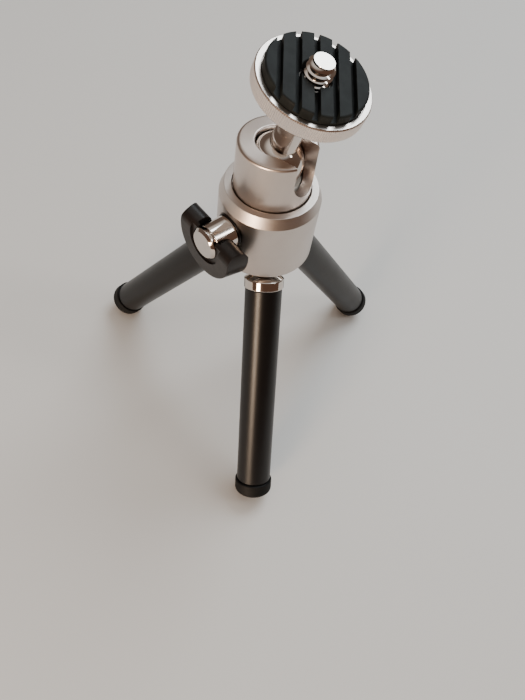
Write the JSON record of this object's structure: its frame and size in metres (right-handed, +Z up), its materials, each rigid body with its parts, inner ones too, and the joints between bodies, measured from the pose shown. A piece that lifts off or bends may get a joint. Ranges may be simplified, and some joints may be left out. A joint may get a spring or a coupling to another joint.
{
  "type": "mini tabletop tripod",
  "caption": "Small folding tabletop tripod with telescoping legs, a slotted ball head with a clamp knob, and a rubber-faced camera platform with a threaded stud.",
  "frame": {"origin": "middle of the footprint box of the spread legs, on the surface that the feet stand on", "axes": "+Z up along the hub's axis; -Y towards the front leg; +X to the right of it"},
  "size_m": [0.095, 0.0838, 0.1243],
  "materials": {
    "satin_silver": "fine turned satin, anodised clear",
    "chrome": "bright plated",
    "dark_steel": "plain turned steel",
    "brass": "plain turned brass",
    "black_paint": "fine satin black coat on aluminium tube",
    "black_plastic": "moulded, slight sheen",
    "black_rubber": "matt moulded rubber",
    "white_nylon": "plain moulded nylon"
  },
  "bodies": {
    "hub": {"hub_shell": "satin_silver", "leg_carrier": "dark_steel", "clamp_core": "satin_silver", "base_screw": "dark_steel", "clamp_plunger": "brass", "pivot_pin_1": "dark_steel", "pivot_pin_2": "dark_steel", "pivot_pin_3": "dark_steel"},
    "knob": {"clamp_screw": "dark_steel", "knob_washer": "black_plastic", "knob_barrel": "chrome", "knob_wing": "black_plastic"},
    "cup": {"ball_cup": "satin_silver", "pressure_seat": "white_nylon"},
    "ball": {"ball_neck": "chrome", "camera_stud": "chrome"},
    "platform": {"platform_disc": "satin_silver", "platform_pad": "black_rubber"},
    "leg_1": {"leg_head_1": "chrome", "outer_tube_1": "black_paint"},
    "middle_1": {"middle_tube_1": "chrome", "middle_bush_1": "white_nylon"},
    "foot_1": {"inner_tube_1": "chrome", "inner_bush_1": "white_nylon", "foot_cap_1": "black_rubber"},
    "leg_2": {"leg_head_2": "chrome", "outer_tube_2": "black_paint"},
    "middle_2": {"middle_tube_2": "chrome", "middle_bush_2": "white_nylon"},
    "foot_2": {"inner_tube_2": "chrome", "inner_bush_2": "white_nylon", "foot_cap_2": "black_rubber"},
    "leg_3": {"leg_head_3": "chrome", "outer_tube_3": "black_paint"},
    "middle_3": {"middle_tube_3": "chrome", "middle_bush_3": "white_nylon"},
    "foot_3": {"inner_tube_3": "chrome", "inner_bush_3": "white_nylon", "foot_cap_3": "black_rubber"}
  },
  "joints": [
    {"name": "knob_turn", "type": "hinge", "parent": "hub", "child": "knob", "pos_m": [0, 0.01198, 0.07682], "axis": [-0.8039, -0.5948, 0], "range_deg": [0, 540]},
    {"name": "cup_pan", "type": "hinge", "parent": "hub", "child": "cup", "pos_m": [0, 0.01198, 0.09068], "axis": [0, 0, 1], "continuous": true},
    {"name": "head_tilt", "type": "hinge", "parent": "cup", "child": "ball", "pos_m": [0, 0.01198, 0.09347], "axis": [0.6074, 0.7944, 0], "range_deg": [-29, 75.9]},
    {"name": "platform_spin", "type": "hinge", "parent": "ball", "child": "platform", "pos_m": [0, 0.01198, 0.09347], "axis": [0.1935, -0.148, 0.9699], "continuous": true},
    {"name": "leg_fold_1", "type": "hinge", "parent": "hub", "child": "leg_1", "pos_m": [0, 0.00517, 0.06627], "axis": [1, 0, 0], "range_deg": [0, 34]},
    {"name": "middle_slide_1", "type": "slide", "parent": "leg_1", "child": "middle_1", "axis": [0, -0.5592, -0.829], "range_m": [0, 0.042]},
    {"name": "foot_slide_1", "type": "slide", "parent": "middle_1", "child": "foot_1", "axis": [0, -0.5592, -0.829], "range_m": [0, 0.042]},
    {"name": "leg_fold_2", "type": "hinge", "parent": "hub", "child": "leg_2", "pos_m": [0.0059, 0.01539, 0.06627], "axis": [-0.5, 0.866, 0], "range_deg": [0, 34]},
    {"name": "middle_slide_2", "type": "slide", "parent": "leg_2", "child": "middle_2", "axis": [0.4843, 0.2796, -0.829], "range_m": [0, 0.042]},
    {"name": "foot_slide_2", "type": "slide", "parent": "middle_2", "child": "foot_2", "axis": [0.4843, 0.2796, -0.829], "range_m": [0, 0.042]},
    {"name": "leg_fold_3", "type": "hinge", "parent": "hub", "child": "leg_3", "pos_m": [-0.0059, 0.01539, 0.06627], "axis": [-0.5, -0.866, 0], "range_deg": [0, 34]},
    {"name": "middle_slide_3", "type": "slide", "parent": "leg_3", "child": "middle_3", "axis": [-0.4843, 0.2796, -0.829], "range_m": [0, 0.042]},
    {"name": "foot_slide_3", "type": "slide", "parent": "middle_3", "child": "foot_3", "axis": [-0.4843, 0.2796, -0.829], "range_m": [0, 0.042]}
  ]
}
